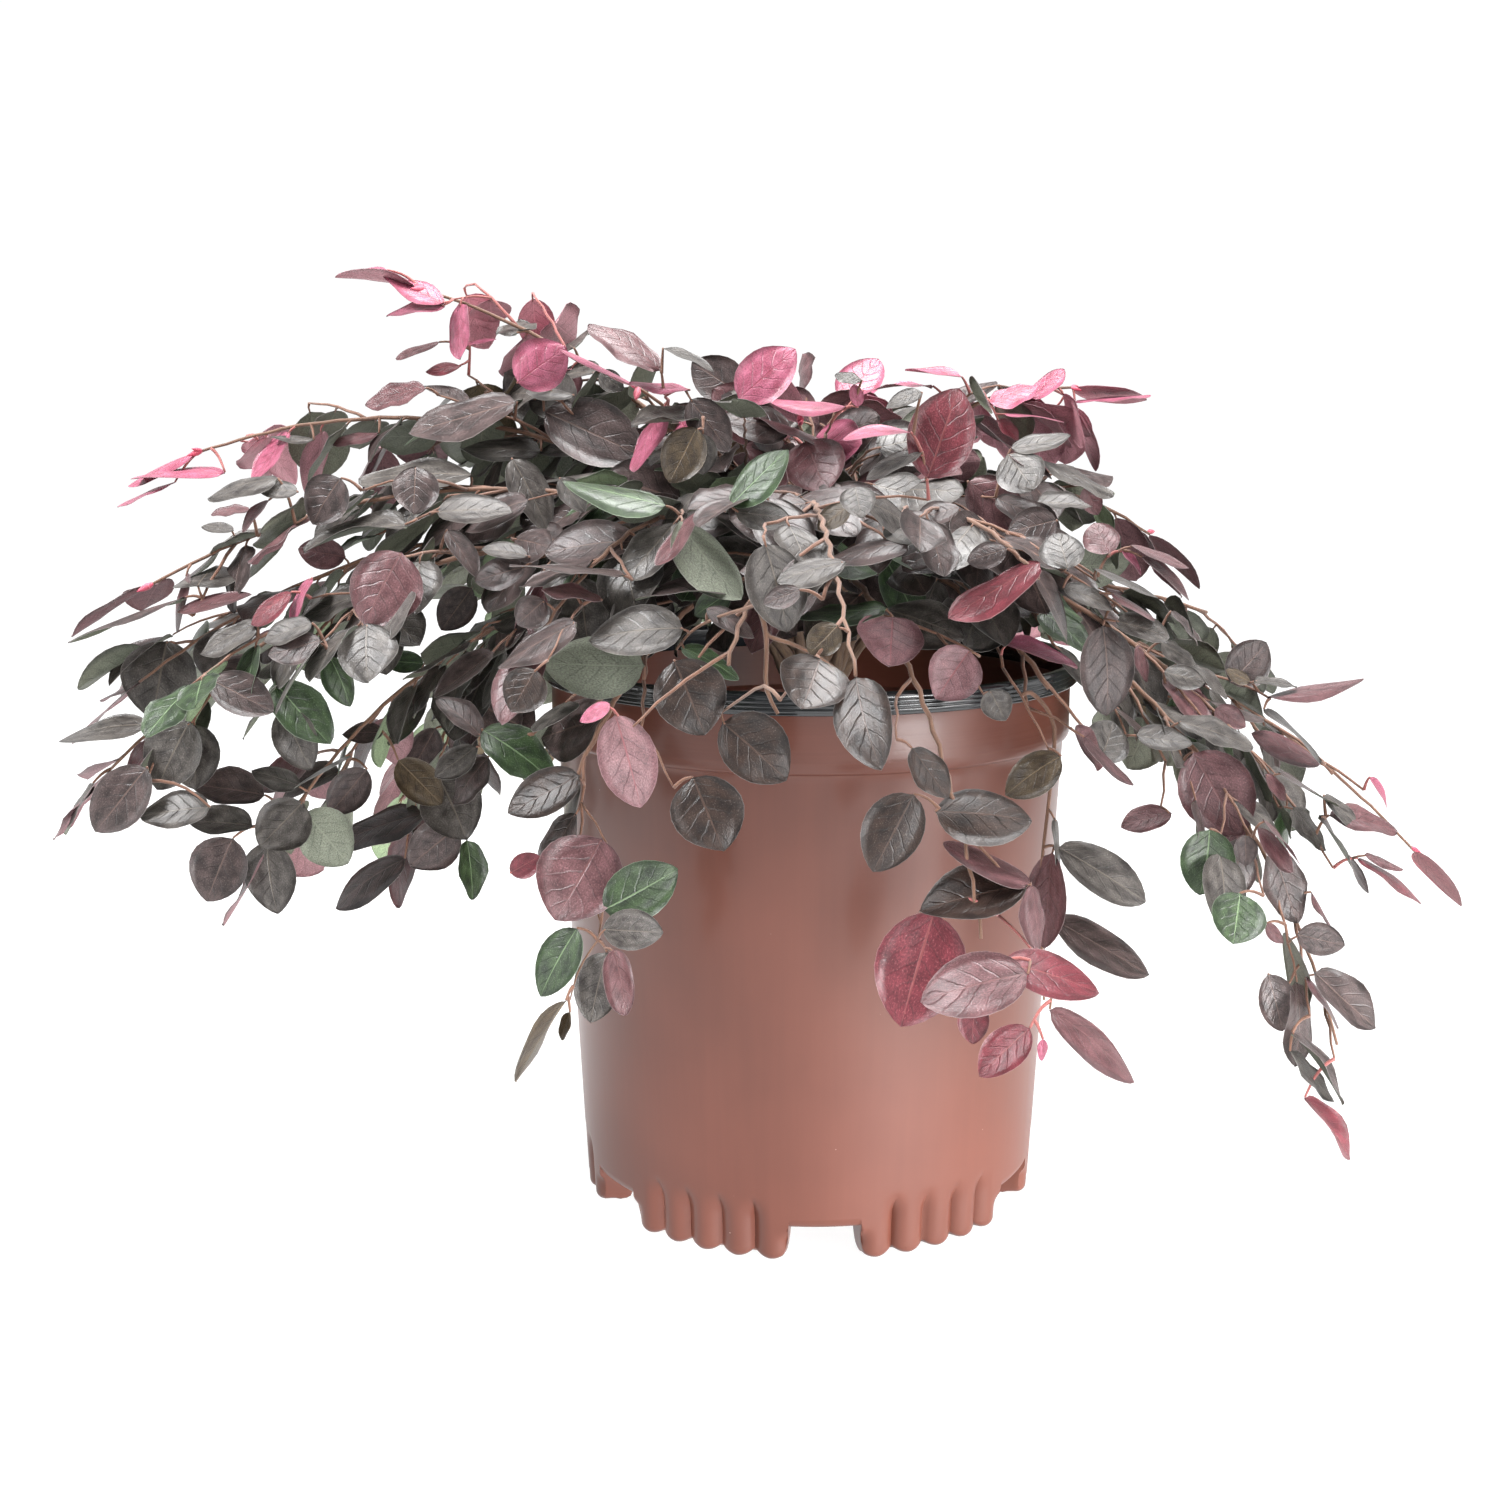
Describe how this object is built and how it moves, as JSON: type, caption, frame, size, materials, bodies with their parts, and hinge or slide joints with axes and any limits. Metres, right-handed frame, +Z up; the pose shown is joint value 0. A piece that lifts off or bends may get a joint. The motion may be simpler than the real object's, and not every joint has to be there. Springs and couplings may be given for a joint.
{
  "type": "potted chinese fringe flower shrub",
  "caption": "Low weeping evergreen shrub with purple leaves on arching shoots, growing in a round moulded nursery pot with fluted feet.",
  "frame": {"origin": "on the ground under the middle of the plant's bounding box, which is the pot's axis", "axes": "+X along the plant's longest spread, to the right of a viewer who faces it; -Y is the plant's front; +Z up, the shortest extent"},
  "size_m": [0.606, 0.47, 0.4],
  "materials": {
    "pot": "satin moulded plastic",
    "soil": "moist bark compost",
    "bark": "rough young bark",
    "foliage": "matte, finely hairy leaves"
  },
  "bodies": {
    "root": {"pot": "pot", "soil": "soil", "trunk": "bark", "bough_top_left": "bark", "bough_left_upper": "bark", "bough_left_middle": "bark", "bough_left_side": "bark", "bough_left_low": "bark", "bough_left_lower": "bark", "bough_left_hanging": "bark", "bough_front_left": "bark", "bough_front_left_upper": "bark", "bough_front": "bark", "bough_front_middle": "bark", "bough_front_right": "bark", "bough_front_right_upper": "bark", "bough_right_front": "bark", "bough_right_low": "bark", "bough_right_hanging": "bark", "bough_right_middle": "bark", "bough_right_outer": "bark", "bough_right_upper": "bark", "bough_top_right": "bark", "bough_top": "bark", "bough_top_back": "bark", "bough_top_front": "bark", "bough_back_right": "bark", "bough_back": "bark", "bough_back_low": "bark", "bough_back_left": "bark", "bough_back_left_low": "bark", "foliage_top_left": "foliage", "foliage_left_upper": "foliage", "foliage_left_middle": "foliage", "foliage_left_side": "foliage", "foliage_left_low": "foliage", "foliage_left_lower": "foliage", "foliage_left_hanging": "foliage", "foliage_front_left": "foliage", "foliage_front_left_upper": "foliage", "foliage_front": "foliage", "foliage_front_middle": "foliage", "foliage_front_right": "foliage", "foliage_front_right_upper": "foliage", "foliage_right_front": "foliage", "foliage_right_low": "foliage", "foliage_right_hanging": "foliage", "foliage_right_middle": "foliage", "foliage_right_outer": "foliage", "foliage_right_upper": "foliage", "foliage_top_right": "foliage", "foliage_top": "foliage", "foliage_top_back": "foliage", "foliage_top_front": "foliage", "foliage_back_right": "foliage", "foliage_back": "foliage", "foliage_back_low": "foliage", "foliage_back_left": "foliage", "foliage_back_left_low": "foliage"}
  },
  "joints": []
}
